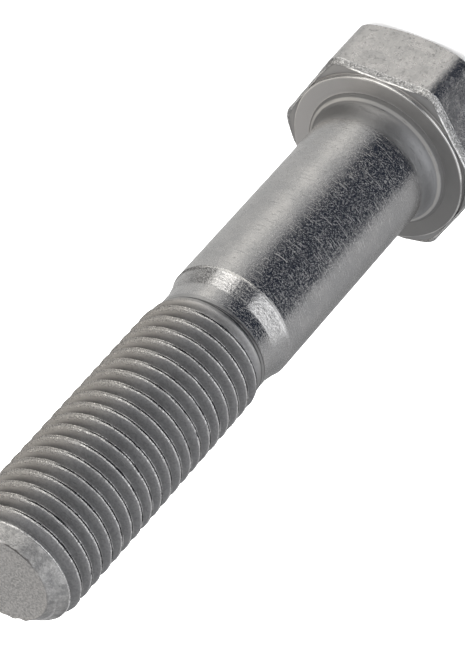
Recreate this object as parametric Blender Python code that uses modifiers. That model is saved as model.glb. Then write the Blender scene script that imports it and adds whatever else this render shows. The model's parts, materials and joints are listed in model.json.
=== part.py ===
"""Hex bolt, M16 x 80, partly threaded, cold forged from one piece of bar.

The bolt stands on the flat top of its head. The origin is the centre of that face,
+Z runs along the shank to the thread's tip, and two of the six wrench flats face +X and -X.
The head is a chamfered hexagon with a raised washer face. The shank swells into the head
through a fillet that ends in a rounded collar. Past the shank a cone leads down to a neck
of the thread's pitch diameter, and the right-hand thread is rolled onto the rest.
"""

import math

import bmesh
import bpy

MM = 0.001

# Head
ACROSS_FLATS = 24.0 * MM
HEAD_HEIGHT = 10.0 * MM  # from the flat top to the bearing face
HEAD_CORNER_RADIUS = 1.6 * MM
HEAD_TOP_DIAMETER = 0.95 * ACROSS_FLATS
HEAD_CHAMFER_ANGLE = math.radians(30.0)
WASHER_FACE_DIAMETER = 23.2 * MM
WASHER_FACE_HEIGHT = 0.5 * MM
WASHER_FACE_BEVEL = 0.25 * MM

# Fillet under the head, with its collar
COLLAR_FOOT_RADIUS = 9.4 * MM
COLLAR_LIP_RADIUS = 9.05 * MM
COLLAR_HEIGHT = 0.65 * MM
FILLET_LENGTH = 3.2 * MM  # from the bearing face

# Shank, cone and neck
LENGTH = 80.0 * MM  # from the bearing face to the tip
SHANK_DIAMETER = 16.0 * MM
SHANK_LENGTH = 33.4 * MM  # from the bearing face to the start of the cone
SHANK_END_ROUNDING = 0.4 * MM
CONE_LENGTH = 2.6 * MM
NECK_DIAMETER = 14.7 * MM

# Thread, right-hand metric profile with a rounded root
PITCH = 2.0 * MM
MAJOR_DIAMETER = 15.8 * MM
THREAD_DEPTH = 1.15 * MM
CREST_WIDTH = 0.28 * MM
ROOT_WIDTH = 0.46 * MM
ROOT_SAG = 0.05 * MM
THREAD_START = 38.4 * MM  # from the bearing face
RUN_OUT_LENGTH = 4.0 * MM
CREST_PHASE = 1.27 * MM  # height of a crest at azimuth 0, less whole pitches
TIP_FLAT_DIAMETER = 11.5 * MM
TIP_CHAMFER_LENGTH = 2.6 * MM

# Fineness of the turned and the threaded surfaces
SIDES = 32
HEAD_CHAMFER_SIDES = 48
ARC_STEPS = 4

BEARING_FACE = HEAD_HEIGHT
TIP = HEAD_HEIGHT + LENGTH
HEX_TOP = HEAD_HEIGHT - WASHER_FACE_HEIGHT
CONE_START = BEARING_FACE + SHANK_LENGTH
CONE_END = CONE_START + CONE_LENGTH
NECK_END = BEARING_FACE + THREAD_START
FULL_THREAD = NECK_END + RUN_OUT_LENGTH
ROOT_RADIUS = MAJOR_DIAMETER / 2 - THREAD_DEPTH

STEEL_COLOUR = (0.44, 0.43, 0.42, 1.0)
STEEL_ROUGHNESS = 0.38
WELD_DISTANCE = 0.005 * MM


def clear_scene():
    for obj in list(bpy.data.objects):
        bpy.data.objects.remove(obj, do_unlink=True)


def new_collection(name):
    collection = bpy.data.collections.new(name)
    bpy.context.scene.collection.children.link(collection)
    return collection


def new_object(name, mesh, collection):
    obj = bpy.data.objects.new(name, mesh)
    collection.objects.link(obj)
    return obj


def as_cutter(obj):
    """Keeps a helper shape out of the render and out of the finished part."""
    obj.hide_render = True
    obj.display_type = "WIRE"
    return obj


def steel():
    material = bpy.data.materials.new("plain_steel")
    material.use_nodes = True
    shader = material.node_tree.nodes["Principled BSDF"]
    shader.inputs["Base Color"].default_value = STEEL_COLOUR
    shader.inputs["Metallic"].default_value = 1.0
    shader.inputs["Roughness"].default_value = STEEL_ROUGHNESS
    return material


def arc(start, end, bulge, steps=ARC_STEPS):
    """Points of a shallow curve from start to end, standing off the chord by bulge at its middle.

    A positive bulge lies to the left of the way from start to end. Both ends are left out.
    """
    along = (end[0] - start[0], end[1] - start[1])
    length = math.hypot(*along)
    normal = (-along[1] / length, along[0] / length)
    points = []
    for step in range(1, steps):
        t = step / steps
        off = 4.0 * bulge * t * (1.0 - t)
        points.append((start[0] + along[0] * t + normal[0] * off, start[1] + along[1] * t + normal[1] * off))
    return points


def turned(name, profile, collection, sides=SIDES):
    """A solid of revolution. The profile's (radius, height) points run from the top down."""
    mesh = bpy.data.meshes.new(name)
    points = [(radius, 0.0, height) for radius, height in profile]
    edges = [(index, index + 1) for index in range(len(points) - 1)]
    mesh.from_pydata(points, edges, [])
    obj = new_object(name, mesh, collection)
    screw = obj.modifiers.new("turn", "SCREW")
    screw.axis = "Z"
    screw.steps = sides
    screw.render_steps = sides
    screw.use_merge_vertices = True
    screw.merge_threshold = WELD_DISTANCE
    return obj


def shank_profile():
    """The body from inside the thread's core, over neck, cone, shank and fillet, to inside the head."""
    inside_thread = 0.4 * MM
    neck_radius = NECK_DIAMETER / 2
    shank_radius = SHANK_DIAMETER / 2
    washer_radius = WASHER_FACE_DIAMETER / 2
    fillet_top = (shank_radius, BEARING_FACE + FILLET_LENGTH)
    lip = (COLLAR_LIP_RADIUS, BEARING_FACE + COLLAR_HEIGHT)
    foot = (COLLAR_FOOT_RADIUS, BEARING_FACE)
    fillet_hollow = 0.35 * MM
    lip_bulge = 0.09 * MM
    profile = [
        (0.0, FULL_THREAD + inside_thread),
        (ROOT_RADIUS - inside_thread, FULL_THREAD + inside_thread),
        (neck_radius, NECK_END),
        (neck_radius, CONE_END),
        (shank_radius - SHANK_END_ROUNDING / 4, CONE_START),
        (shank_radius, CONE_START - SHANK_END_ROUNDING),
        fillet_top,
    ]
    profile += arc(fillet_top, lip, -fillet_hollow)
    profile.append(lip)
    profile += arc(lip, foot, lip_bulge, steps=2)
    profile += [
        foot,
        (washer_radius - WASHER_FACE_BEVEL, BEARING_FACE),
        (washer_radius, BEARING_FACE - WASHER_FACE_BEVEL),
        (washer_radius, HEX_TOP - WASHER_FACE_HEIGHT),
        (0.0, HEX_TOP - WASHER_FACE_HEIGHT),
    ]
    return profile


def hexagon_head(collection):
    """Hexagonal prism with rounded corners, its outer end chamfered by a cone."""
    mesh = bpy.data.meshes.new("hexagon")
    shape = bmesh.new()
    bmesh.ops.create_cone(
        shape,
        cap_ends=True,
        segments=6,
        radius1=ACROSS_FLATS / math.sqrt(3.0),
        radius2=ACROSS_FLATS / math.sqrt(3.0),
        depth=HEX_TOP,
    )
    bmesh.ops.translate(shape, verts=shape.verts, vec=(0.0, 0.0, HEX_TOP / 2))
    corners = [edge for edge in shape.edges if abs(edge.verts[0].co.z - edge.verts[1].co.z) > HEX_TOP / 2]
    setback = HEAD_CORNER_RADIUS * math.tan(math.radians(30.0))
    bmesh.ops.bevel(shape, geom=corners, offset=setback, segments=3, profile=0.5, affect="EDGES")
    shape.to_mesh(mesh)
    shape.free()
    head = as_cutter(new_object("hexagon", mesh, collection))

    overshoot = 1.0 * MM
    slope = math.tan(HEAD_CHAMFER_ANGLE)
    widest = 0.65 * ACROSS_FLATS
    top_radius = HEAD_TOP_DIAMETER / 2
    cone = turned(
        "head_chamfer",
        [
            (0.0, HEX_TOP + overshoot),
            (widest, HEX_TOP + overshoot),
            (widest, (widest - top_radius) * slope),
            (top_radius - overshoot / slope, -overshoot),
            (0.0, -overshoot),
        ],
        collection,
        HEAD_CHAMFER_SIDES,
    )
    as_cutter(cone)
    combine(head, cone, "INTERSECT")
    return head


def thread_profile():
    """One pitch of the thread as (radius, height), from the top down, a crest at its middle."""
    crest_radius = MAJOR_DIAMETER / 2
    half_root = ROOT_WIDTH / 2
    half_crest = CREST_WIDTH / 2
    half_pitch = PITCH / 2
    return [
        (ROOT_RADIUS - ROOT_SAG, half_pitch),
        (ROOT_RADIUS, half_pitch - half_root),
        (crest_radius, half_crest),
        (crest_radius, -half_crest),
        (ROOT_RADIUS, half_root - half_pitch),
        (ROOT_RADIUS - ROOT_SAG, -half_pitch),
    ]


def helical_rod(collection):
    """A closed rod with the thread along it, longer at both ends than the finished thread."""
    half_step = math.pi / SIDES
    first_turn = math.floor((NECK_END - CREST_PHASE) / PITCH) - 1
    turns = math.ceil((TIP - NECK_END) / PITCH) + 3
    base = CREST_PHASE + first_turn * PITCH + PITCH * half_step / (2.0 * math.pi)
    mesh = bpy.data.meshes.new("one_pitch")
    points = []
    for radius, height in thread_profile():
        points.append((radius * math.cos(half_step), radius * math.sin(half_step), base + height))
    mesh.from_pydata(points, [(index, index + 1) for index in range(len(points) - 1)], [])
    guide = new_object("one_pitch", mesh, collection)
    screw = guide.modifiers.new("wind", "SCREW")
    screw.axis = "Z"
    screw.screw_offset = PITCH
    screw.iterations = turns
    screw.steps = SIDES
    screw.render_steps = SIDES
    screw.use_merge_vertices = False
    wound = bpy.data.meshes.new_from_object(guide.evaluated_get(bpy.context.evaluated_depsgraph_get()))
    bpy.data.objects.remove(guide)

    shape = bmesh.new()
    shape.from_mesh(wound)
    bmesh.ops.remove_doubles(shape, verts=shape.verts, dist=WELD_DISTANCE)
    middle = base + turns * PITCH / 2
    for low_end in (True, False):
        rim = [edge for edge in shape.edges if edge.is_boundary and (edge.verts[0].co.z < middle) == low_end]
        heights = [vert.co.z for edge in rim for vert in edge.verts]
        tip = shape.verts.new((0.0, 0.0, min(heights) if low_end else max(heights)))
        for edge in rim:
            shape.faces.new((edge.verts[0], edge.verts[1], tip))
    bmesh.ops.recalc_face_normals(shape, faces=shape.faces)
    shape.to_mesh(wound)
    shape.free()
    return as_cutter(new_object("thread_rod", wound, collection))


def thread_envelope(collection):
    """Outside shape of the threaded end: run-out at the neck, full diameter, chamfered tip."""
    beyond_crest = 0.3 * MM
    inside_neck = 0.8 * MM
    crest_radius = MAJOR_DIAMETER / 2
    envelope = turned(
        "thread_envelope",
        [
            (0.0, TIP),
            (TIP_FLAT_DIAMETER / 2, TIP),
            (crest_radius + beyond_crest, TIP - TIP_CHAMFER_LENGTH - beyond_crest),
            (crest_radius + beyond_crest, FULL_THREAD + beyond_crest),
            (NECK_DIAMETER / 2, NECK_END),
            (NECK_DIAMETER / 2 - inside_neck, NECK_END - inside_neck),
            (0.0, NECK_END - inside_neck),
        ],
        collection,
    )
    return as_cutter(envelope)


def combine(obj, other, operation):
    boolean = obj.modifiers.new(other.name, "BOOLEAN")
    boolean.operation = operation
    boolean.solver = "EXACT"
    boolean.object = other


def build_bolt():
    parts = new_collection("hex_bolt")
    cutters = new_collection("cutters")
    cutters.hide_render = True
    bolt = turned("hex_bolt", shank_profile(), parts)
    combine(bolt, hexagon_head(cutters), "UNION")
    thread = helical_rod(cutters)
    combine(thread, thread_envelope(cutters), "INTERSECT")
    combine(bolt, thread, "UNION")
    bolt.data.materials.append(steel())
    bolt.data.shade_smooth()
    bolt.data.set_sharp_from_angle(angle=math.radians(30.0))


clear_scene()
build_bolt()
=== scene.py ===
"""The looks of the hex bolt: one fine steel surface in place of the plain CAD solid.

Lengths in the mesh code are millimetres, measured like the frame: 0 at the flat top of the
head, rising along the axis to the thread's tip. The mesh is scaled to metres at the end.
"""

import json
import math

import bpy
import numpy as np
from mathutils import Matrix, Vector


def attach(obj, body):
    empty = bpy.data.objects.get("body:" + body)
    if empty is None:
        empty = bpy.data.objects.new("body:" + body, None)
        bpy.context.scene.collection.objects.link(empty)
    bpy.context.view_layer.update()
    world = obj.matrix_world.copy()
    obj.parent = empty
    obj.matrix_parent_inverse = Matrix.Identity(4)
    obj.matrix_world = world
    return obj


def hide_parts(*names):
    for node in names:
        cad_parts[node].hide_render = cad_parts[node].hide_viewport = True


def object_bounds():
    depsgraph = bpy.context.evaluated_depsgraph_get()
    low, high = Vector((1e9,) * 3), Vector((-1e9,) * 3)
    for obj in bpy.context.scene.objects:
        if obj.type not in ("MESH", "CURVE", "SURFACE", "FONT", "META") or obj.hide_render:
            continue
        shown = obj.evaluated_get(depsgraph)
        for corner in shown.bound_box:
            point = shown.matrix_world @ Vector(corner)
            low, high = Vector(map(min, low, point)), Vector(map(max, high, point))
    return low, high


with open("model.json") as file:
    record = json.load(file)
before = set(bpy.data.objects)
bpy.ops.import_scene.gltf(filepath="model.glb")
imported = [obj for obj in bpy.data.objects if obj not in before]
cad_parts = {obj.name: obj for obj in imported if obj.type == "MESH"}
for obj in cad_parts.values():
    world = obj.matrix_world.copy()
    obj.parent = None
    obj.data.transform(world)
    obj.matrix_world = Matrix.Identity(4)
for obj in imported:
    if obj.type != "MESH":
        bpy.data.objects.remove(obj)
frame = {"record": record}
cad_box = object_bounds()

METRE = 1000.0  # millimetres in the frame's unit

# Sizes that the CAD part gives
BOX_HIGH = cad_box[1] * METRE
TIP_Z = BOX_HIGH.z
HALF_FLATS = BOX_HIGH.x
CORNER_REACH = BOX_HIGH.y
DIAMETER = HALF_FLATS * 4.0 / 3.0
BEARING_Z = frame["record"]["mounts"][0]["pos_m"][2] * METRE

# Head
UNDERSIDE_Z = BEARING_Z - 0.5
TOP_RADIUS = 0.95 * HALF_FLATS
CHAMFER_SLOPE = math.tan(math.radians(30.0))
FACE_INSET = 0.06  # of the faces inside the CAD box, which leaves room for their waves
CORNER_RADIUS = 2.2
CORNER_PULL = 0.3  # how far trimming pulls the hexagon's corners in
CORNER_SINK = 0.42  # and how far it bends them away from the bearing face
BAND_START = UNDERSIDE_Z - 1.05
WASHER_RADIUS = 11.6
COLLAR_SHADE_FADE = (5.0, 9.0)  # x over which the painted shade at the collar's foot fades

# Shank and neck
SHANK_RADIUS = DIAMETER / 2
SHANK_END = BEARING_Z + 33.4
CONE_LENGTH = 2.6
NECK_RADIUS = 7.35

# Thread
PITCH = 2.0
CREST_RADIUS = 7.9
CREST_HALF_WIDTH = 0.13  # from the crest's middle to the line of the straight flank
FLANK_SLOPE = math.tan(math.radians(60.0))
CREST_PHASE = 1.27  # height of a crest at azimuth 0, less whole pitches
RUN_OUT_START = BEARING_Z + 37.9
RUN_OUT_END = BEARING_Z + 41.0
TIP_FLAT_RADIUS = 5.74
CHAMFER_SPREAD = 0.84  # how much the chamfer's radius grows per millimetre from the tip
CHAMFER_DEPTH = 2.7  # as far as this from the tip, what the chamfer cuts is the tip's steel
TIP_ROWS_DEPTH = 0.68  # of the plain rings between the helical rows and the tip
NICKS = 90

# Mesh fineness
COLUMNS = 144
HEAD_COLUMNS = 2 * COLUMNS

# Material slots of the bolt
HEAD_FACE, TRIM_BAND, BEARING, SHANK, THREAD, TIP = range(6)


# ---------------------------------------------------------------- camera

LENS = 217.3
CAMERA_AZIMUTH = math.radians(-89.81)
CAMERA_ELEVATION = math.radians(37.93)
CAMERA_DISTANCE = 0.4458
CAMERA_ROLL = math.radians(138.35)
CAMERA_TARGET = Vector((-0.0002, 0.0, 0.0432))


def add_camera():
    camera = bpy.data.objects.new("camera", bpy.data.cameras.new("camera"))
    bpy.context.scene.collection.objects.link(camera)
    level = math.cos(CAMERA_ELEVATION)
    back = Vector(
        (level * math.cos(CAMERA_AZIMUTH), level * math.sin(CAMERA_AZIMUTH), math.sin(CAMERA_ELEVATION))
    )
    turn = (-back).to_track_quat("-Z", "Y").to_matrix() @ Matrix.Rotation(-CAMERA_ROLL, 3, "Z")
    camera.matrix_world = Matrix.Translation(CAMERA_TARGET + back * CAMERA_DISTANCE) @ turn.to_4x4()
    camera.data.lens = LENS
    camera.data.clip_start = 0.01
    bpy.context.scene.camera = camera


# ---------------------------------------------------------------- surface

def smooth_step(value, low, high):
    t = np.clip((value - low) / (high - low), 0.0, 1.0)
    return t * t * (3.0 - 2.0 * t)


def ripple(angle, height, seed, waves, round_range, height_range):
    """Smooth noise round the axis with a spread of about 1, as a sum of slanted waves."""
    draw = np.random.RandomState(seed)
    total = np.zeros(np.broadcast(angle, height).shape)
    for _ in range(waves):
        around = draw.randint(round_range[0], round_range[1] + 1) * draw.choice((-1, 1))
        along = draw.uniform(*height_range)
        total += np.cos(around * angle + along * height + draw.uniform(0.0, 2.0 * math.pi))
    return total * math.sqrt(2.0 / waves)


def hexagon_radius(angle, half_flats):
    """Distance from the axis to a hexagon with rounded corners, flats facing +X and -X."""
    from_flat = np.abs((angle + math.pi / 6) % (math.pi / 3) - math.pi / 6)
    from_corner = math.pi / 6 - from_flat
    centre = (half_flats - CORNER_RADIUS) / math.cos(math.pi / 6)
    offset = np.clip(CORNER_RADIUS**2 - (centre * np.sin(from_corner)) ** 2, 0.0, None)
    rounded = centre * np.cos(from_corner) + np.sqrt(offset)
    flat_reach = (half_flats - CORNER_RADIUS) * math.tan(math.pi / 6)
    return np.where(half_flats * np.tan(from_flat) > flat_reach, rounded, half_flats / np.cos(from_flat))


# The trimmed band beside the bearing face, as (height under the edge, inset, roughness of the cut)
TRIM_SECTION = (
    (1.05, 0.0, 0.0),
    (0.98, 0.02, 0.3),
    (0.90, 0.045, 0.6),
    (0.78, 0.065, 1.0),
    (0.66, 0.088, 1.0),
    (0.54, 0.112, 1.0),
    (0.42, 0.136, 1.0),
    (0.31, 0.158, 1.0),
    (0.24, 0.170, 0.6),
    (0.19, 0.178, 0.3),
    (0.14, 0.186, 0.2),
    (0.10, 0.196, 0.2),
)

# The rounded edge between the trimmed band and the underside, as (height under it, inset)
EDGE_SECTION = ((0.06, 0.21), (0.025, 0.232), (0.0, 0.262), (0.03, 0.30), (0.1, 0.325))


def head_side(angle):
    """Distance from the axis to the hexagon's slightly uneven faces."""
    wave = 0.012 * ripple(angle, 0.0, 3, 12, (3, 30), (0.0, 1.0))
    return hexagon_radius(angle, HALF_FLATS - FACE_INSET) + wave


def cornerness(side):
    """0 on the hexagon's flats and 1 at its corners."""
    return smooth_step(side, HALF_FLATS + 0.3, CORNER_REACH)


def top_rows(angle, side):
    """Rows over the head's flat top and its chamfer."""
    flat = np.ones_like(angle)
    rows = [(flat * radius, flat * 0.0, HEAD_FACE) for radius in (3.0, 6.0, 9.0, 10.6, 11.15)]
    rows.append((flat * (TOP_RADIUS - 0.1), flat * 0.012, HEAD_FACE))
    inner = TOP_RADIUS + 0.06
    rows.append((flat * inner, flat * 0.06, HEAD_FACE))
    for part in (0.25, 0.5, 0.75, 0.93):
        radius = inner + part * (side - inner)
        rows.append((radius, 0.02 + (radius - TOP_RADIUS) * CHAMFER_SLOPE, HEAD_FACE))
    rows.append((side - 0.03, (side - TOP_RADIUS) * CHAMFER_SLOPE + 0.03, HEAD_FACE))
    return rows


def face_rows(angle, side):
    """Rows down the six faces, from the chamfer to the trimmed band."""
    start = (side - TOP_RADIUS) * CHAMFER_SLOPE + 0.16
    end = BAND_START - 0.08
    rows = []
    for part in np.linspace(0.0, 1.0, 12):
        height = start + part * (end - start)
        wave = 0.006 * ripple(angle, height, 5, 14, (4, 30), (0.5, 3.0))
        rows.append((side + wave, height, HEAD_FACE))
    return rows


def band_rows(angle, side):
    """Rows over the rough trimmed band and round its edge. The corners are pulled in and down."""
    corner = cornerness(side)
    stripes = ripple(angle, 0.0, 6, 60, (60, 160), (0.0, 1.0))
    rows = []
    for height, inset, rough in TRIM_SECTION:
        level = UNDERSIDE_Z - height
        grain = ripple(angle, level, 7, 60, (30, 150), (6.0, 24.0))
        swell = ripple(angle, level, 8, 24, (6, 50), (0.5, 3.0))
        wobble = rough * (0.005 * grain + 0.005 * stripes + 0.007 * swell)
        radius = np.minimum(side - inset + wobble, side + FACE_INSET * 0.8)
        radius = radius - CORNER_PULL * corner * (1.0 - height)
        level = level + 0.008 * rough * grain - 0.4 * corner * (1.0 - height) ** 2
        rows.append((radius, level, TRIM_BAND))
    jag = 0.02 * ripple(angle, 0.0, 9, 40, (20, 160), (0.0, 1.0))
    for height, inset in EDGE_SECTION:
        radius = side - CORNER_PULL * corner - inset
        rows.append((radius, UNDERSIDE_Z - height - CORNER_SINK * corner + jag, TRIM_BAND))
    return rows


def underside_rows(angle, side):
    """Rows from the trimmed band's edge to the foot of the washer face."""
    corner = cornerness(side)
    flat = np.ones_like(angle)
    inner = WASHER_RADIUS + 0.16
    outer = np.maximum(side - CORNER_PULL * corner - 0.34, inner + 0.02)
    rows = []
    for part in (0.0, 0.3, 0.6, 0.85, 1.0):
        height = UNDERSIDE_Z - 0.1 - CORNER_SINK * corner * (1.0 - part) ** 2
        rows.append((outer + part * (inner - outer), height, BEARING))
    for radius in (WASHER_RADIUS + 0.12, WASHER_RADIUS + 0.05):
        rows.append((flat * radius, flat * (UNDERSIDE_Z - 0.22), BEARING))
    return rows


def head_rows(angle):
    """Rows of the head as (radius, height, material), from the flat top to the washer face."""
    side = head_side(angle)
    rows = top_rows(angle, side) + face_rows(angle, side)
    return rows + band_rows(angle, side) + underside_rows(angle, side)


# The washer face's rim, as (height under the bearing face, inset, share of the burr)
RIM_SECTION = (
    (0.45, 0.0, 0.0),
    (0.2, -0.02, 0.0),
    (0.12, 0.0, 0.0),
    (0.06, 0.03, 1.0),
    (0.02, 0.08, 0.0),
    (0.0, 0.14, 0.0),
)

# From the bearing face over the collar's rounded lip and down the fillet, as (radius, height)
COLLAR_SECTION = (
    (9.36, 0.0),
    (9.355, 0.08),
    (9.32, 0.20),
    (9.25, 0.32),
    (9.16, 0.43),
    (9.04, 0.53),
    (8.91, 0.61),
    (8.77, 0.69),
    (8.63, 0.79),
    (8.50, 0.92),
    (8.38, 1.10),
    (8.28, 1.36),
    (8.19, 1.70),
    (8.12, 2.10),
    (8.05, 2.60),
    (8.015, 3.05),
    (8.00, 3.50),
)

# The worn shoulder where the shank ends, as (height past the shank's end, inset)
SHOULDER_SECTION = ((-0.14, 0.0), (-0.04, 0.0), (0.01, 0.015), (0.08, 0.075), (0.12, 0.1))


def washer_rows(angle):
    """Rows round the washer face's rim, over the bearing face and collar, and down the fillet."""
    flat = np.ones_like(angle)
    wobble = 0.012 * ripple(angle, 0.0, 11, 16, (2, 22), (0.0, 1.0))
    burr = 0.012 * ripple(angle, 0.0, 12, 40, (20, 80), (0.0, 1.0))
    rows = []
    for height, inset, burred in RIM_SECTION:
        rows.append((WASHER_RADIUS - inset + wobble, BEARING_Z - height + burr * burred, BEARING))
    for radius in (11.3, 10.9, 10.5, 10.1, 9.7, 9.5):
        rows.append((flat * radius, flat * BEARING_Z, BEARING))
    for radius, height in COLLAR_SECTION:
        material = BEARING if height == 0.0 else SHANK
        rows.append((flat * radius, flat * (BEARING_Z + height), material))
    return rows


def shank_rows(angle):
    """Rows down the shank and over its worn shoulder."""
    flat = np.ones_like(angle)
    fillet_end = BEARING_Z + COLLAR_SECTION[-1][1]
    rows = []
    for height in np.linspace(fillet_end, SHANK_END - 0.35, 30)[1:]:
        wave = 0.004 * ripple(angle, height, 13, 16, (2, 14), (0.2, 1.6))
        rows.append((SHANK_RADIUS + wave, flat * height, SHANK))
    for height, inset in SHOULDER_SECTION:
        rows.append((flat * (SHANK_RADIUS - inset), flat * (SHANK_END + height), SHANK))
    return rows


def neck_rows(angle):
    """Rows down the cone and along the neck to where the thread starts."""
    flat = np.ones_like(angle)
    start_radius = SHANK_RADIUS - SHOULDER_SECTION[-1][1]
    rows = []
    for part in (0.08, 0.2, 0.4, 0.6, 0.75, 0.86, 0.94, 1.0):
        along = part * CONE_LENGTH
        wave = 0.008 * ripple(angle, along, 15, 14, (2, 12), (0.5, 2.0)) * math.sin(math.pi * part)
        radius = start_radius + part * (NECK_RADIUS - start_radius) + wave
        rows.append((radius, flat * (SHANK_END + along), SHANK))
    for height in np.linspace(SHANK_END + CONE_LENGTH, RUN_OUT_START, 7)[1:]:
        rows.append((flat * NECK_RADIUS, flat * height, SHANK))
    return rows


def chamfer_radius(height):
    """Radius of the cone that blunts the thread's end."""
    return TIP_FLAT_RADIUS + CHAMFER_SPREAD * np.clip(TIP_Z - height, 0.0, None)


def flank(distance):
    """Radius of the thread's straight flank at a height away from the crest's middle."""
    return CREST_RADIUS - FLANK_SLOPE * (distance - CREST_HALF_WIDTH)


# One pitch of the thread as (height from the crest's middle, radius): root, flank, thin lip, the
# seam that rolling leaves, the broad lip that slopes to the tip, flank
THREAD_SECTION = (
    (-1.00, 6.70),
    (-0.91, 6.75),
    (-0.80, flank(0.72)),
    (-0.62, flank(0.54)),
    (-0.45, flank(0.37)),
    (-0.29, flank(0.21)),
    (-0.25, 7.83),
    (-0.215, 7.865),
    (-0.175, 7.85),
    (-0.14, 7.81),
    (-0.08, 7.79),
    (-0.02, 7.805),
    (0.03, 7.86),
    (0.07, 7.89),
    (0.12, 7.876),
    (0.18, 7.848),
    (0.24, 7.806),
    (0.30, flank(0.22)),
    (0.46, flank(0.38)),
    (0.63, flank(0.55)),
    (0.80, flank(0.72)),
    (0.91, 6.75),
)


def nicks(angle, height):
    """Depth of the small dents that handling leaves on the crests."""
    draw = np.random.RandomState(41)
    depth = np.zeros(np.shape(height))
    for _ in range(NICKS):
        where = draw.uniform(0.0, 2.0 * math.pi)
        level = draw.uniform(RUN_OUT_END, TIP_Z)
        deep = draw.uniform(0.04, 0.16)
        wide = draw.uniform(0.12, 0.35)
        around = CREST_RADIUS * ((angle - where + math.pi) % (2.0 * math.pi) - math.pi)
        depth = depth + deep * np.exp(-((around / wide) ** 2) - ((height - level) / 0.7) ** 2)
    return depth


def thread_point(angle, height, offset, radius):
    """Radius, height and whether it is on the chamfer, of points on the thread."""
    crest = smooth_step(radius, 7.3, 7.8)
    sway = 0.016 * ripple(angle, height, 21, 24, (3, 26), (0.2, 2.5))
    chatter = ripple(angle, height, 23, 40, (14, 76), (0.2, 2.5))
    swell = ripple(angle, height, 25, 16, (2, 9), (0.1, 1.0))
    seam = np.exp(-(((offset + 0.07) / 0.06) ** 2)) * ripple(angle, height, 27, 16, (2, 12), (0.1, 1.5))
    radius = radius + crest * (0.009 * chatter + 0.008 * swell - nicks(angle, height)) + 0.015 * seam
    height = height + crest * sway
    depth = smooth_step(height, RUN_OUT_START, RUN_OUT_END)
    radius = NECK_RADIUS + depth * (radius - NECK_RADIUS)
    limit = chamfer_radius(height) + 0.012 * ripple(angle, height, 29, 24, (3, 30), (0.5, 4.0))
    return np.minimum(radius, limit), height, radius > limit


def tip_rows(angle):
    """Rows of the chamfer's last stretch, the tip's rim and its flat end."""
    flat = np.ones_like(angle)
    rows = []
    rim = TIP_FLAT_RADIUS + 0.05 * ripple(angle, 0.0, 31, 20, (2, 26), (0.0, 1.0))
    for depth in (TIP_ROWS_DEPTH, 0.55, 0.42, 0.28, 0.17):
        height = TIP_Z - depth
        blend = 1.0 - depth / TIP_ROWS_DEPTH
        radius = chamfer_radius(height) + blend * (rim - TIP_FLAT_RADIUS)
        rows.append((flat * radius, flat * height, TIP))
    rows.append((rim + 0.08, flat * (TIP_Z - 0.08), TIP))
    rows.append((rim + 0.03, flat * (TIP_Z - 0.02), TIP))
    rows.append((rim - 0.02, flat * TIP_Z, TIP))
    rows.append((rim - 0.09, flat * (TIP_Z - 0.01), TIP))
    rows.append((rim - 0.14, flat * (TIP_Z - 0.035), TIP))
    for radius in (5.2, 4.6, 3.9, 3.1, 2.2, 1.2):
        dent = 0.01 * ripple(angle, radius, 33, 12, (1, 8), (0.5, 3.0))
        rows.append((flat * radius, TIP_Z - 0.04 + dent, TIP))
    return rows


class Surface:
    """Collects the vertices and faces of a closed surface made of rings round the axis."""

    def __init__(self):
        self.points = []
        self.faces = []
        self.materials = []

    def point(self, radius, angle, height):
        self.points.append((radius * math.cos(angle), radius * math.sin(angle), height))
        return len(self.points) - 1

    def face(self, material, *corners):
        self.faces.append(corners)
        self.materials.append(material)

    def ring(self, angles, radii, heights):
        return [self.point(*values) for values in zip(radii, angles, heights)]

    def band(self, low, high, material):
        """Faces between two rings, the lower of which has as many points or twice as many."""
        count = len(high)
        for index in range(count):
            after = (index + 1) % count
            if len(low) == count:
                self.face(material, low[index], low[after], high[after], high[index])
                continue
            first, middle, last = low[2 * index], low[2 * index + 1], low[(2 * index + 2) % len(low)]
            self.face(material, first, middle, high[index])
            self.face(material, middle, high[after], high[index])
            self.face(material, middle, last, high[after])

    def stack(self, rows, angles, below=None):
        for radii, heights, material in rows:
            ring = self.ring(angles, radii, heights)
            if below is not None:
                self.band(below, ring, material)
            below = ring
        return below

    def disc(self, ring, height, material, upward):
        centre = self.point(0.0, 0.0, height)
        for index, corner in enumerate(ring):
            after = ring[(index + 1) % len(ring)]
            self.face(material, *((corner, after, centre) if upward else (after, corner, centre)))


def thread_columns(angles):
    """For each angle, the thread's points above it, as {row: (height, offset, radius)}.

    A row is a point of THREAD_SECTION in one turn, and climbs a pitch as it goes round.
    """
    low = RUN_OUT_START + 0.05
    high = TIP_Z - TIP_ROWS_DEPTH - 0.05
    turns = range(int(low // PITCH) - 2, int(high // PITCH) + 2)
    columns = []
    for rise in CREST_PHASE + PITCH * angles / (2.0 * math.pi):
        column = {}
        for turn in turns:
            for step, (offset, radius) in enumerate(THREAD_SECTION):
                height = rise + turn * PITCH + offset
                if low < height < high:
                    column[turn * len(THREAD_SECTION) + step] = (height, offset, radius)
        columns.append(column)
    return columns


def place_columns(surface, angles):
    """The thread's columns as {row: point}, and the set of points that the end's chamfer cuts."""
    placed = []
    cut_points = set()
    for angle, column in zip(angles, thread_columns(angles)):
        heights, offsets, radii = (np.array(values) for values in zip(*column.values()))
        radii, heights, cut = thread_point(angle, heights, offsets, radii)
        points = [surface.point(radius, angle, height) for radius, height in zip(radii, heights)]
        placed.append(dict(zip(column, points)))
        cut = cut & (heights > TIP_Z - CHAMFER_DEPTH)
        cut_points.update(point for point, is_cut in zip(points, cut) if is_cut)
    return placed, cut_points


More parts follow.
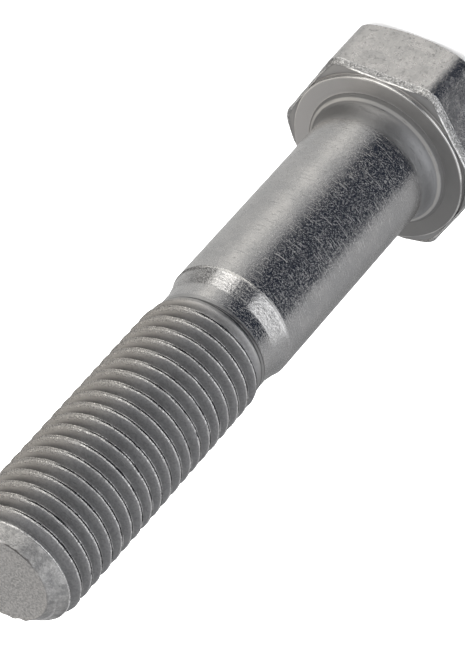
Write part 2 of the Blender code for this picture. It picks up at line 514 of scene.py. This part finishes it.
def wind_thread(surface, angles, neck_ring, tip_ring):
    """Joins the neck's ring to the tip's ring with the thread's helical rows."""
    placed, cut_points = place_columns(surface, angles)
    on_chamfer = cut_points.union(tip_ring)

    def add_face(*corners):
        surface.face(TIP if on_chamfer.issuperset(corners) else THREAD, *corners)

    for index, left in enumerate(placed):
        after = (index + 1) % len(placed)
        right = placed[after]
        if after == 0:
            right = {row - len(THREAD_SECTION): point for row, point in right.items()}
        left_low, left_high = min(left), max(left)
        right_low, right_high = min(right), max(right)
        for row in range(left_low, right_high):
            add_face(left[row], right[row], right[row + 1], left[row + 1])
        start = [neck_ring[after]] + [right[row] for row in range(right_low, left_low + 1)]
        start.append(left[left_low])
        for near, far in zip(start, start[1:]):
            add_face(neck_ring[index], near, far)
        end = [tip_ring[index]] + [left[row] for row in range(left_high, right_high - 1, -1)]
        end.append(right[right_high])
        for near, far in zip(end, end[1:]):
            add_face(tip_ring[after], near, far)


def bolt_mesh():
    surface = Surface()
    head_angles = np.arange(HEAD_COLUMNS) * 2.0 * math.pi / HEAD_COLUMNS
    angles = head_angles[::2]
    rim = surface.stack(head_rows(head_angles), head_angles)
    surface.disc(list(range(HEAD_COLUMNS)), 0.0, HEAD_FACE, upward=False)
    lower_rows = washer_rows(angles) + shank_rows(angles) + neck_rows(angles)
    neck_ring = surface.stack(lower_rows, angles, below=rim)
    tip = tip_rows(angles)
    tip_ring = surface.ring(angles, tip[0][0], tip[0][1])
    wind_thread(surface, angles, neck_ring, tip_ring)
    last = surface.stack(tip[1:], angles, below=tip_ring)
    surface.disc(last, TIP_Z - 0.04, TIP, upward=True)
    mesh = bpy.data.meshes.new("bolt_surface")
    points = [(x / METRE, y / METRE, z / METRE) for x, y, z in surface.points]
    mesh.from_pydata(points, [], surface.faces)
    mesh.polygons.foreach_set("material_index", surface.materials)
    mesh.shade_smooth()
    mesh.set_sharp_from_angle(angle=math.radians(125.0))
    mesh.update()
    return mesh


# ---------------------------------------------------------------- materials

class Nodes:
    """Short calls for building a node tree. A colour is (red, green, blue)."""

    def __init__(self, tree):
        self.tree = tree

    def add(self, kind, **settings):
        node = self.tree.nodes.new(kind)
        for name, value in settings.items():
            setattr(node, name, value)
        return node

    def feed(self, socket, value):
        if isinstance(value, bpy.types.NodeSocket):
            self.tree.links.new(value, socket)
        else:
            socket.default_value = value

    def math(self, operation, *values):
        node = self.add("ShaderNodeMath", operation=operation)
        for socket, value in zip(node.inputs, values):
            self.feed(socket, value)
        return node.outputs[0]

    def fit(self, value, low, high, to_low=0.0, to_high=1.0, smooth=True):
        """value carried from low..high to to_low..to_high, and held at the ends."""
        node = self.add("ShaderNodeMapRange", interpolation_type="SMOOTHSTEP" if smooth else "LINEAR")
        for name, given in (("Value", value), ("From Min", low), ("From Max", high)):
            self.feed(node.inputs[name], given)
        self.feed(node.inputs["To Min"], to_low)
        self.feed(node.inputs["To Max"], to_high)
        return node.outputs[0]

    def window(self, value, low, low_full, high_full, high):
        """1 between low_full and high_full, fading to 0 at low and at high."""
        rising = self.fit(value, low, low_full)
        return self.math("MULTIPLY", rising, self.fit(value, high_full, high, 1.0, 0.0))

    def line(self, value, middle, core, edge, strength=1.0):
        """strength as far as core from middle, fading to 0 at edge."""
        away = self.math("ABSOLUTE", self.math("SUBTRACT", value, middle))
        return self.fit(away, core, edge, strength, 0.0)

    def mix(self, factor, first, second):
        node = self.add("ShaderNodeMix", data_type="RGBA")
        self.feed(node.inputs["Factor"], factor)
        for name, colour in (("A", first), ("B", second)):
            self.feed(node.inputs[name], colour + (1.0,) if isinstance(colour, tuple) else colour)
        return node.outputs["Result"]

    def noise(self, vector, scale, detail=2.0, roughness=0.5):
        node = self.add("ShaderNodeTexNoise")
        self.feed(node.inputs["Vector"], vector)
        self.feed(node.inputs["Scale"], scale)
        self.feed(node.inputs["Detail"], detail)
        self.feed(node.inputs["Roughness"], roughness)
        return node.outputs["Fac"]

    def place(self, vector, turn=0.0, stretch=(1.0, 1.0, 1.0), shift=(0.0, 0.0, 0.0)):
        node = self.add("ShaderNodeMapping")
        self.feed(node.inputs["Vector"], vector)
        node.inputs["Rotation"].default_value = (0.0, 0.0, turn)
        node.inputs["Scale"].default_value = stretch
        node.inputs["Location"].default_value = shift
        return node.outputs[0]

    def axes(self, vector):
        """The vector's x, y and z."""
        node = self.add("ShaderNodeSeparateXYZ")
        self.feed(node.inputs[0], vector)
        return tuple(node.outputs)

    def bump(self, height, depth, normal=None):
        """depth is the relief in millimetres that a height of 1 stands for."""
        node = self.add("ShaderNodeBump")
        node.inputs["Strength"].default_value = 1.0
        node.inputs["Distance"].default_value = depth / METRE
        self.feed(node.inputs["Height"], height)
        if normal is not None:
            self.feed(node.inputs["Normal"], normal)
        return node.outputs[0]


def new_steel(name):
    """(material, nodes, shader, position in millimetres) of a new metal."""
    material = bpy.data.materials.new(name)
    material.use_nodes = True
    nodes = Nodes(material.node_tree)
    shader = material.node_tree.nodes["Principled BSDF"]
    shader.inputs["Metallic"].default_value = 1.0
    place = nodes.add("ShaderNodeTexCoord").outputs["Object"]
    scale = nodes.add("ShaderNodeVectorMath", operation="SCALE")
    nodes.feed(scale.inputs[0], place)
    scale.inputs["Scale"].default_value = METRE
    return material, nodes, shader, scale.outputs[0]


def unrolled(nodes, position, radius):
    """(the surface laid flat at that radius, height, distance from the axis), in millimetres."""
    x, y, z = nodes.axes(position)
    around = nodes.math("MULTIPLY", nodes.math("ARCTAN2", y, x), radius)
    squares = nodes.math("ADD", nodes.math("MULTIPLY", x, x), nodes.math("MULTIPLY", y, y))
    join = nodes.add("ShaderNodeCombineXYZ")
    for socket, value in zip(join.inputs, (around, z, 0.0)):
        nodes.feed(socket, value)
    return join.outputs[0], z, nodes.math("SQRT", squares)


def from_crest(nodes, flat, radius):
    """Signed height from the middle of the thread's nearest crest, in millimetres."""
    around, height, _ = nodes.axes(flat)
    climbed = nodes.math("MULTIPLY", around, PITCH / (2.0 * math.pi * radius))
    rise = nodes.math("SUBTRACT", nodes.math("SUBTRACT", height, climbed), CREST_PHASE - PITCH / 2)
    return nodes.math("SUBTRACT", nodes.math("FLOORED_MODULO", rise, PITCH), PITCH / 2)


def past_chamfer(nodes, height, radius):
    """How far outside the cone that blunts the thread's end, in millimetres."""
    spread = nodes.math("MULTIPLY", nodes.math("SUBTRACT", TIP_Z, height), CHAMFER_SPREAD)
    return nodes.math("SUBTRACT", nodes.math("SUBTRACT", radius, TIP_FLAT_RADIUS), spread)


def scratches(nodes, flat, turns, length, width, threshold, seed):
    """Short straight scratches, one layer for each direction in turns."""
    total = None
    for order, turn in enumerate(turns):
        placed = nodes.place(flat, turn, (1.0 / length, 1.0 / width, 1.0), (seed * 7.3, order * 11.7, 0.0))
        streak = nodes.fit(nodes.noise(placed, 1.0, 0.0), threshold, threshold + 0.14)
        total = streak if total is None else nodes.math("MAXIMUM", total, streak)
    return total


def strokes(nodes, flat):
    """The short crossed strokes that tumbling leaves: 0 to 1."""
    turns = (0.2, 0.75, 1.25, 1.8, 2.3, 2.85)
    return scratches(nodes, flat, turns, length=0.27, width=0.075, threshold=0.70, seed=1)


def forged_tone_and_painted_light(nodes, x, grit, lip, foot):
    """Colour of the fillet and collar: grey with painted shade toward +X, a painted highlight on the lip
    and painted shade at the foot.
    """
    across = nodes.math("ADD", x, nodes.math("MULTIPLY", grit, 6.0))
    tone = nodes.mix(nodes.fit(across, -2.0, 10.0), (0.30, 0.302, 0.31), (0.25, 0.247, 0.245))
    tone = nodes.mix(lip, tone, (0.56, 0.55, 0.535))
    return nodes.mix(foot, tone, (0.20, 0.197, 0.194))


def shank_steel():
    """Bright tumbled shank, cone and neck, and the matt forged fillet and collar, with a painted highlight
    on the collar's lip and painted shade at its foot and toward +X.
    """
    material, nodes, shader, position = new_steel("shank_steel")
    flat, height, radius = unrolled(nodes, position, SHANK_RADIUS)
    x, _, _ = nodes.axes(position)
    speckle = nodes.noise(position, 3.0, 3.0, 0.6)
    grit = nodes.noise(position, 1.5, 4.0, 0.7)
    cloud = nodes.noise(position, 0.35, 3.0, 0.6)
    long_marks = scratches(nodes, flat, (0.7, 2.2), length=2.2, width=0.11, threshold=0.72, seed=5)
    marks = nodes.math("MAXIMUM", strokes(nodes, flat), long_marks)
    marks = nodes.math("MULTIPLY", marks, nodes.fit(height, BEARING_Z + 2.6, BEARING_Z + 9.0, 0.25, 1.0))
    worn = nodes.fit(height, BEARING_Z + 2.2, BEARING_Z + 4.6)
    # Painted highlight on the collar's lip (which is also smoother), and painted shade at its foot that
    # fades toward +X.
    lip = nodes.window(radius, 8.66, 8.80, 8.98, 9.14)
    foot = nodes.fit(radius, 9.08, 9.16, 0.0, nodes.fit(x, *COLLAR_SHADE_FADE, 0.75, 0.15))
    tone = nodes.mix(nodes.fit(cloud, 0.3, 0.7), (0.575, 0.573, 0.572), (0.66, 0.652, 0.645))
    tone = nodes.mix(worn, forged_tone_and_painted_light(nodes, x, grit, lip, foot), tone)
    nodes.feed(shader.inputs["Base Color"], tone)
    ground = nodes.fit(speckle, 0.3, 0.7, 0.11, 0.18)
    rough = nodes.fit(marks, 0.0, 1.0, ground, 0.5, smooth=False)
    forged = nodes.math("ADD", nodes.fit(lip, 0.0, 1.0, 0.46, 0.34), nodes.math("MULTIPLY", foot, 0.3))
    nodes.feed(shader.inputs["Roughness"], nodes.fit(worn, 0.0, 1.0, forged, rough))
    relief = nodes.bump(speckle, 0.010)
    relief = nodes.bump(grit, 0.03, relief)
    marks = nodes.math("MULTIPLY", marks, nodes.fit(worn, 0.0, 1.0, 0.25, 1.0))
    relief = nodes.bump(marks, 0.012, relief)
    nodes.feed(shader.inputs["Normal"], nodes.bump(long_marks, -0.06, relief))
    return material


def crest_wear_and_glint(nodes, radius, side, coarse, grains):
    """Where the crests are worn bright and carry a painted glint: a crisp lip, and toward +X a broad
    grainy patch of painted sparkle.
    """
    reach = nodes.fit(side, 0.0, 1.0, 0.04, 0.6)
    wear_and_glint = nodes.fit(nodes.math("ADD", radius, nodes.math("MULTIPLY", coarse, reach)), 7.80, 7.88)
    return nodes.math("MULTIPLY", wear_and_glint, nodes.fit(side, 0.0, 1.0, 1.0, grains))


def flank_tone(nodes, position, radius, side, streaks):
    """Colour of the thread's flanks: streaked and spotted, with painted shade in the root, and toward +X a
    painted gradient from shade near the root to warmer light near the crest.
    """
    grit = nodes.noise(position, 3.6, 2.0, 0.7)
    tone = nodes.mix(nodes.fit(streaks, 0.2, 0.8), (0.335, 0.336, 0.345), (0.375, 0.373, 0.377))
    tone = nodes.mix(nodes.fit(grit, 0.40, 0.56, 0.34, 0.0), tone, (0.15, 0.15, 0.155))
    # Painted shade in the root.
    tone = nodes.mix(nodes.fit(radius, 6.72, 6.92, 0.35, 0.0), tone, (0.10, 0.098, 0.095))
    # Toward +X: painted shade near the root, grading to painted light near the crest.
    side_light_and_shade = nodes.mix(nodes.fit(radius, 6.9, 7.55), (0.17, 0.163, 0.158), (0.56, 0.53, 0.50))
    return nodes.mix(nodes.math("MULTIPLY", side, 0.75), tone, side_light_and_shade)


def crest_seam_shade(nodes, offset, side, coarse):
    """Painted shade in the seam between a crest's two lips, broken in places and gone toward +X."""
    broken = nodes.fit(side, 0.2, 0.9, nodes.fit(coarse, 0.30, 0.45), 0.0)
    return nodes.math("MULTIPLY", nodes.window(offset, -0.19, -0.15, 0.0, 0.04), broken)


def run_out_lines(nodes, tone, height, offset, streaks):
    """tone with the two dark lines that close on each other where the thread starts."""
    groove = nodes.line(height, RUN_OUT_START + 0.75, core=0.05, edge=0.14)
    groove = nodes.math("MULTIPLY", groove, nodes.fit(streaks, 0.3, 0.5, 0.35, 0.9))
    tone = nodes.mix(groove, tone, (0.06, 0.06, 0.062))
    turn = nodes.line(offset, -0.45, core=0.05, edge=0.13, strength=0.75)
    fade = nodes.fit(height, RUN_OUT_START + 1.0, RUN_OUT_START + 2.6, 1.0, 0.0)
    return nodes.mix(nodes.math("MULTIPLY", turn, fade), tone, (0.08, 0.08, 0.082))


def thread_steel():
    """Dull rolled flanks, with painted shade in the roots and seams, crests worn bright and painted with
    glints, and a smoother run-out.
    """
    material, nodes, shader, position = new_steel("thread_steel")
    flat, height, radius = unrolled(nodes, position, CREST_RADIUS)
    x, _, _ = nodes.axes(position)
    # 0 toward -X and 1 toward +X, where the painted light and shade on crests and flanks change.
    side = nodes.fit(x, 1.5, 6.0)
    offset = from_crest(nodes, flat, CREST_RADIUS)
    run_out = nodes.fit(height, RUN_OUT_START + 0.3, RUN_OUT_START + 2.0)
    speckle = nodes.noise(position, 6.0, 3.0, 0.65)
    coarse = nodes.noise(position, 3.4, 3.0, 0.65)
    grains = nodes.fit(nodes.noise(position, 4.2, 2.0, 0.6), 0.42, 0.58)
    streaks = nodes.noise(nodes.place(flat, 0.04, (0.7, 6.0, 1.0)), 1.0, 2.0, 0.6)
    wear_and_glint = crest_wear_and_glint(nodes, radius, side, coarse, grains)
    # Crests: worn metal with a painted glint, whiter toward -X, warmer toward +X, dulled in patches.
    bright = nodes.mix(side, (0.9, 0.895, 0.89), (0.66, 0.64, 0.61))
    bright = nodes.mix(nodes.fit(coarse, 0.35, 0.5, 0.5, 0.0), bright, (0.30, 0.295, 0.29))
    tone = nodes.mix(wear_and_glint, flank_tone(nodes, position, radius, side, streaks), bright)
    # Painted shade in the crests' seams.
    tone = nodes.mix(crest_seam_shade(nodes, offset, side, coarse), tone, (0.03, 0.03, 0.032))
    tone = nodes.mix(run_out, (0.53, 0.526, 0.522), tone)
    # Painted highlight along the edge that the chamfer cuts, on the thread's side of it.
    cut = nodes.fit(past_chamfer(nodes, height, radius), -0.20, -0.10)
    cut = nodes.math("MULTIPLY", cut, nodes.fit(coarse, 0.36, 0.5, 0.3, 1.0))
    tone = nodes.mix(cut, tone, (0.95, 0.94, 0.93))
    tone = run_out_lines(nodes, tone, height, offset, streaks)
    nodes.feed(shader.inputs["Base Color"], tone)
    rough = nodes.fit(wear_and_glint, 0.0, 1.0, 0.46, 0.24)
    nodes.feed(shader.inputs["Roughness"], nodes.fit(run_out, 0.0, 1.0, 0.30, rough))
    fade = nodes.fit(height, RUN_OUT_START, RUN_OUT_START + 1.6, 1.0, 0.12)
    relief = nodes.bump(speckle, 0.030)
    relief = nodes.bump(nodes.math("MULTIPLY", strokes(nodes, flat), fade), 0.036, relief)
    relief = nodes.bump(nodes.math("MULTIPLY", wear_and_glint, grains), 0.045, relief)
    nodes.feed(shader.inputs["Normal"], relief)
    return material


def bearing_steel():
    """Matt washer face, painted lighter toward +X, with painted shade at the collar's foot and a smoother
    rim that carries a painted highlight.
    """
    material, nodes, shader, position = new_steel("bearing_steel")
    _, height, radius = unrolled(nodes, position, WASHER_RADIUS)
    x, _, _ = nodes.axes(position)
    grain = nodes.noise(position, 6.0, 3.0, 0.6)
    cloud = nodes.noise(position, 0.4, 2.0, 0.5)
    # Painted light: the face is lighter toward +X.
    across = nodes.math("ADD", x, nodes.math("MULTIPLY", cloud, 6.0))
    tone = nodes.mix(nodes.fit(across, -8.0, 14.0), (0.275, 0.272, 0.27), (0.57, 0.555, 0.54))
    # Painted shade at the collar's foot, fading toward +X.
    foot = nodes.fit(radius, 9.4, 9.6, nodes.fit(x, *COLLAR_SHADE_FADE, 0.5, 0.1), 0.0)
    tone = nodes.mix(foot, tone, (0.18, 0.178, 0.176))
    # Painted highlight on the rim, broken by the cloud.
    upper = nodes.fit(height, BEARING_Z - 0.4, BEARING_Z - 0.2)
    rim = nodes.math("MULTIPLY", nodes.fit(radius, 11.42, 11.52), upper)
    rim_highlight = nodes.math("MULTIPLY", rim, nodes.fit(cloud, 0.35, 0.6, 0.45, 1.0))
    tone = nodes.mix(rim_highlight, tone, (0.9, 0.89, 0.87))
    tone = nodes.mix(nodes.fit(radius, 11.68, 11.8), tone, (0.36, 0.357, 0.355))
    nodes.feed(shader.inputs["Base Color"], tone)
    foot_rough = nodes.fit(radius, 9.45, 9.6, 0.7, 0.4)
    nodes.feed(shader.inputs["Roughness"], nodes.fit(rim, 0.0, 1.0, foot_rough, 0.24))
    nodes.feed(shader.inputs["Normal"], nodes.bump(grain, 0.004))
    return material


def head_face_steel():
    """Satin faces of the head, clouded and lightly pitted."""
    material, nodes, shader, position = new_steel("head_face_steel")
    speckle = nodes.noise(position, 2.6, 4.0, 0.72)
    cloud = nodes.noise(position, 0.6, 4.0, 0.65)
    pits = nodes.fit(nodes.noise(position, 2.2, 3.0, 0.7), 0.56, 0.7)
    tone = nodes.mix(nodes.fit(cloud, 0.3, 0.7), (0.58, 0.573, 0.566), (0.75, 0.735, 0.72))
    tone = nodes.mix(nodes.math("MULTIPLY", pits, 0.55), tone, (0.34, 0.335, 0.333))
    nodes.feed(shader.inputs["Base Color"], tone)
    nodes.feed(shader.inputs["Roughness"], nodes.fit(cloud, 0.3, 0.7, 0.20, 0.30))
    relief = nodes.bump(speckle, 0.06)
    nodes.feed(shader.inputs["Normal"], nodes.bump(pits, -0.02, relief))
    return material


def trim_band_steel():
    """Torn, sparkling band that trimming leaves, between two edges with painted highlights, the one nearer
    the head's top fainter toward +X.
    """
    material, nodes, shader, position = new_steel("trim_band_steel")
    flat, height, _ = unrolled(nodes, position, CORNER_REACH)
    x, _, _ = nodes.axes(position)
    grain = nodes.noise(nodes.place(flat, 0.0, (4.5, 2.9, 1.0)), 1.0, 3.0, 0.6)
    fine = nodes.noise(position, 4.6, 2.0, 0.6)
    # Painted highlights along the band's two edges.
    low_edge = nodes.fit(height, UNDERSIDE_Z - 0.26, UNDERSIDE_Z - 0.18)
    high_edge_strength = nodes.fit(x, -4.0, 1.0, 1.0, 0.5)
    high_edge = nodes.fit(height, UNDERSIDE_Z - 1.02, UNDERSIDE_Z - 0.90, high_edge_strength, 0.0)
    edge = nodes.math("MAXIMUM", low_edge, high_edge)
    tone = nodes.mix(nodes.fit(grain, 0.38, 0.6), (0.44, 0.437, 0.434), (0.84, 0.835, 0.825))
    tone = nodes.mix(nodes.fit(fine, 0.38, 0.52, 0.55, 0.0), tone, (0.16, 0.158, 0.156))
    tone = nodes.mix(edge, tone, (0.95, 0.945, 0.935))
    nodes.feed(shader.inputs["Base Color"], tone)
    nodes.feed(shader.inputs["Roughness"], nodes.fit(edge, 0.0, 1.0, 0.26, 0.22))
    tears = nodes.math("MULTIPLY", grain, nodes.fit(edge, 0.0, 1.0, 1.0, 0.2))
    nodes.feed(shader.inputs["Normal"], nodes.bump(fine, 0.07, nodes.bump(tears, 0.12)))
    return material


def with_rim_light_and_shade(nodes, tone, position, radius, cloud):
    """tone with the line round the tip's flat painted as light and shade: a painted highlight toward +X,
    then painted shade, then fading toward -X.
    """
    x, _, _ = nodes.axes(position)
    drift = nodes.math("MULTIPLY", nodes.noise(position, 1.6, 2.0, 0.6), 0.16)
    rim = nodes.line(nodes.math("ADD", radius, drift), TIP_FLAT_RADIUS + 0.12, core=0.04, edge=0.11)
    rim = nodes.math("MULTIPLY", rim, nodes.fit(x, -3.0, 0.4, 0.3, 1.0))
    rim = nodes.math("MULTIPLY", rim, nodes.fit(cloud, 0.3, 0.5, 0.5, 1.0))
    shade = nodes.mix(nodes.fit(x, 2.0, 3.0), (0.16, 0.153, 0.15), (0.90, 0.89, 0.88))
    return nodes.mix(rim, tone, shade)


def chamfer_burr_and_highlight(nodes, flat, radius, speckle):
    """The burr on the chamfer along the edges of the crests that it cuts, painted bright as a highlight.
    """
    away = nodes.math("ABSOLUTE", from_crest(nodes, flat, CREST_RADIUS))
    lost = nodes.math("DIVIDE", nodes.math("SUBTRACT", CREST_RADIUS, radius), FLANK_SLOPE)
    burr = nodes.fit(nodes.math("SUBTRACT", away, lost), -0.09, -0.02)
    burr = nodes.math("MULTIPLY", burr, nodes.fit(radius, 6.3, 6.6))
    return nodes.math("MULTIPLY", burr, nodes.fit(speckle, 0.38, 0.48, 0.35, 1.0))


def tip_steel():
    """Grainy flat end with painted light and shade round its rim, and a smeared chamfer with a burr along
    its outer edge that is painted bright as a highlight.
    """
    material, nodes, shader, position = new_steel("tip_steel")
    flat, _, radius = unrolled(nodes, position, CREST_RADIUS)
    speckle = nodes.noise(position, 3.8, 3.0, 0.75)
    cloud = nodes.noise(position, 0.9, 4.0, 0.7)
    smear = nodes.noise(position, 0.8, 5.0, 0.7)
    slope = nodes.fit(radius, TIP_FLAT_RADIUS - 0.02, TIP_FLAT_RADIUS + 0.1)
    face = nodes.mix(nodes.fit(speckle, 0.40, 0.60), (0.38, 0.373, 0.365), (0.58, 0.566, 0.55))
    patches = nodes.math("MULTIPLY", nodes.fit(cloud, 0.45, 0.7), 0.4)
    face = nodes.mix(patches, face, (0.64, 0.62, 0.60))
    cone = nodes.mix(nodes.fit(smear, 0.32, 0.68), (0.34, 0.338, 0.34), (0.68, 0.67, 0.66))
    cone = nodes.mix(nodes.fit(speckle, 0.35, 0.6, 0.4, 0.0), cone, (0.20, 0.198, 0.196))
    # Painted highlight and shade on the line round the flat's rim.
    tone = with_rim_light_and_shade(nodes, nodes.mix(slope, face, cone), position, radius, cloud)
    # The burr, painted bright as a highlight.
    burr = chamfer_burr_and_highlight(nodes, flat, radius, speckle)
    tone = nodes.mix(burr, tone, (0.93, 0.92, 0.91))
    nodes.feed(shader.inputs["Base Color"], tone)
    rough = nodes.fit(speckle, 0.3, 0.7, 0.36, 0.52)
    rough = nodes.fit(slope, 0.0, 1.0, rough, 0.34)
    nodes.feed(shader.inputs["Roughness"], nodes.fit(burr, 0.0, 1.0, rough, 0.24))
    relief = nodes.bump(speckle, 0.08)
    nodes.feed(shader.inputs["Normal"], nodes.bump(burr, -0.05, relief))
    return material


def add_bolt():
    bolt = bpy.data.objects.new("bolt", bolt_mesh())
    bpy.context.scene.collection.objects.link(bolt)
    for make in (head_face_steel, trim_band_steel, bearing_steel, shank_steel, thread_steel, tip_steel):
        bolt.data.materials.append(make())
    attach(bolt, "root")
    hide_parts("hex_bolt")


# ---------------------------------------------------------------- studio

EVEN_LIGHT = 2.5  # strength of the light that everything but the steel's reflections sees
FLOOR_RADIUS = 6.0  # metres, as is the gap
FLOOR_GAP = 0.00005

# What the steel mirrors, painted over the surround in this order. Each panel is (azimuth from,
# softness, azimuth to, softness), (elevation from, to, softness), colour. Degrees. Azimuth 0 is
# the side of the bolt that faces -Y, and +90 is +X.
SURROUND = (0.345, 0.345, 0.35)
EVERYWHERE = (-400, 1, 400, 1)
PANELS = (
    (EVERYWHERE, (-100, -22, 8), (0.42, 0.422, 0.43)),
    ((40, 30, 400, 1), (-100, -22, 8), (0.59, 0.587, 0.58)),
    ((58, 12, 82, 14), (-64, -24, 8), (0.88, 0.862, 0.83)),
    ((-200, 1, -126, 20), (-100, -22, 8), (0.30, 0.302, 0.305)),
    ((-68, 12, 30, 32), (-100, -20, 6), (0.022, 0.028, 0.044)),
    ((-10, 6, 38, 6), (-20, 30, 6), (0.06, 0.065, 0.08)),
    ((70, 10, 182, 1), (-24, 2, 6), (0.155, 0.153, 0.151)),
    ((-82, 34, -7, 8), (-19, 3, 4), (1.4, 1.41, 1.43)),
    ((34, 8, 70, 8), (-19, 2, 4), (2.0, 1.96, 1.9)),
    ((14, 10, 96, 14), (9, 34, 6), (1.3, 1.27, 1.2)),
    ((-110, 16, -12, 8), (14, 34, 6), (0.95, 0.96, 0.98)),
    ((92, 16, 165, 10), (8, 62, 10), (0.62, 0.595, 0.56)),
)


def panel_mask(nodes, azimuth, elevation, around, up):
    """1 inside a panel and 0 outside it, with soft edges."""
    left, left_soft, right, right_soft = around
    low, high, soft = up
    left_edge = (left - left_soft / 2, left + left_soft / 2)
    right_edge = (right - right_soft / 2, right + right_soft / 2)
    low_edge = (low - soft / 2, low + soft / 2)
    high_edge = (high - soft / 2, high + soft / 2)
    across = nodes.window(azimuth, *left_edge, *right_edge)
    return nodes.math("MULTIPLY", across, nodes.window(elevation, *low_edge, *high_edge))


def add_studio_light():
    """Even white light for the floor, and panels round the bolt that its steel mirrors."""
    world = bpy.data.worlds.new("studio")
    bpy.context.scene.world = world
    world.use_nodes = True
    tree = world.node_tree
    tree.nodes.clear()
    nodes = Nodes(tree)
    x, y, z = nodes.axes(nodes.add("ShaderNodeTexCoord").outputs["Generated"])
    azimuth = nodes.math("DEGREES", nodes.math("ARCTAN2", x, nodes.math("MULTIPLY", y, -1.0)))
    elevation = nodes.math("DEGREES", nodes.math("ARCSINE", z))
    colour = SURROUND
    for around, up, panel in PANELS:
        colour = nodes.mix(panel_mask(nodes, azimuth, elevation, around, up), colour, panel)
    mirrored = nodes.add("ShaderNodeBackground")
    nodes.feed(mirrored.inputs["Color"], colour)
    even = nodes.add("ShaderNodeBackground")
    even.inputs["Color"].default_value = (1.0, 1.0, 1.0, 1.0)
    even.inputs["Strength"].default_value = EVEN_LIGHT
    choose = nodes.add("ShaderNodeMixShader")
    nodes.feed(choose.inputs[0], nodes.add("ShaderNodeLightPath").outputs["Is Glossy Ray"])
    nodes.feed(choose.inputs[1], even.outputs[0])
    nodes.feed(choose.inputs[2], mirrored.outputs[0])
    nodes.feed(nodes.add("ShaderNodeOutputWorld").inputs["Surface"], choose.outputs[0])
    bpy.context.scene.view_settings.view_transform = "Standard"


def add_floor():
    """A wide pale disc under the head."""
    bpy.ops.mesh.primitive_circle_add(vertices=96, radius=FLOOR_RADIUS, fill_type="NGON")
    floor = bpy.context.object
    floor.location.z = -FLOOR_GAP
    floor.name = "floor"
    material = bpy.data.materials.new("floor_white")
    material.use_nodes = True
    shader = material.node_tree.nodes["Principled BSDF"]
    shader.inputs["Base Color"].default_value = (0.93, 0.93, 0.93, 1.0)
    shader.inputs["Roughness"].default_value = 0.9
    shader.inputs["Specular IOR Level"].default_value = 0.1
    floor.data.materials.append(material)
    floor.visible_glossy = False


add_camera()
add_bolt()
add_studio_light()
add_floor()
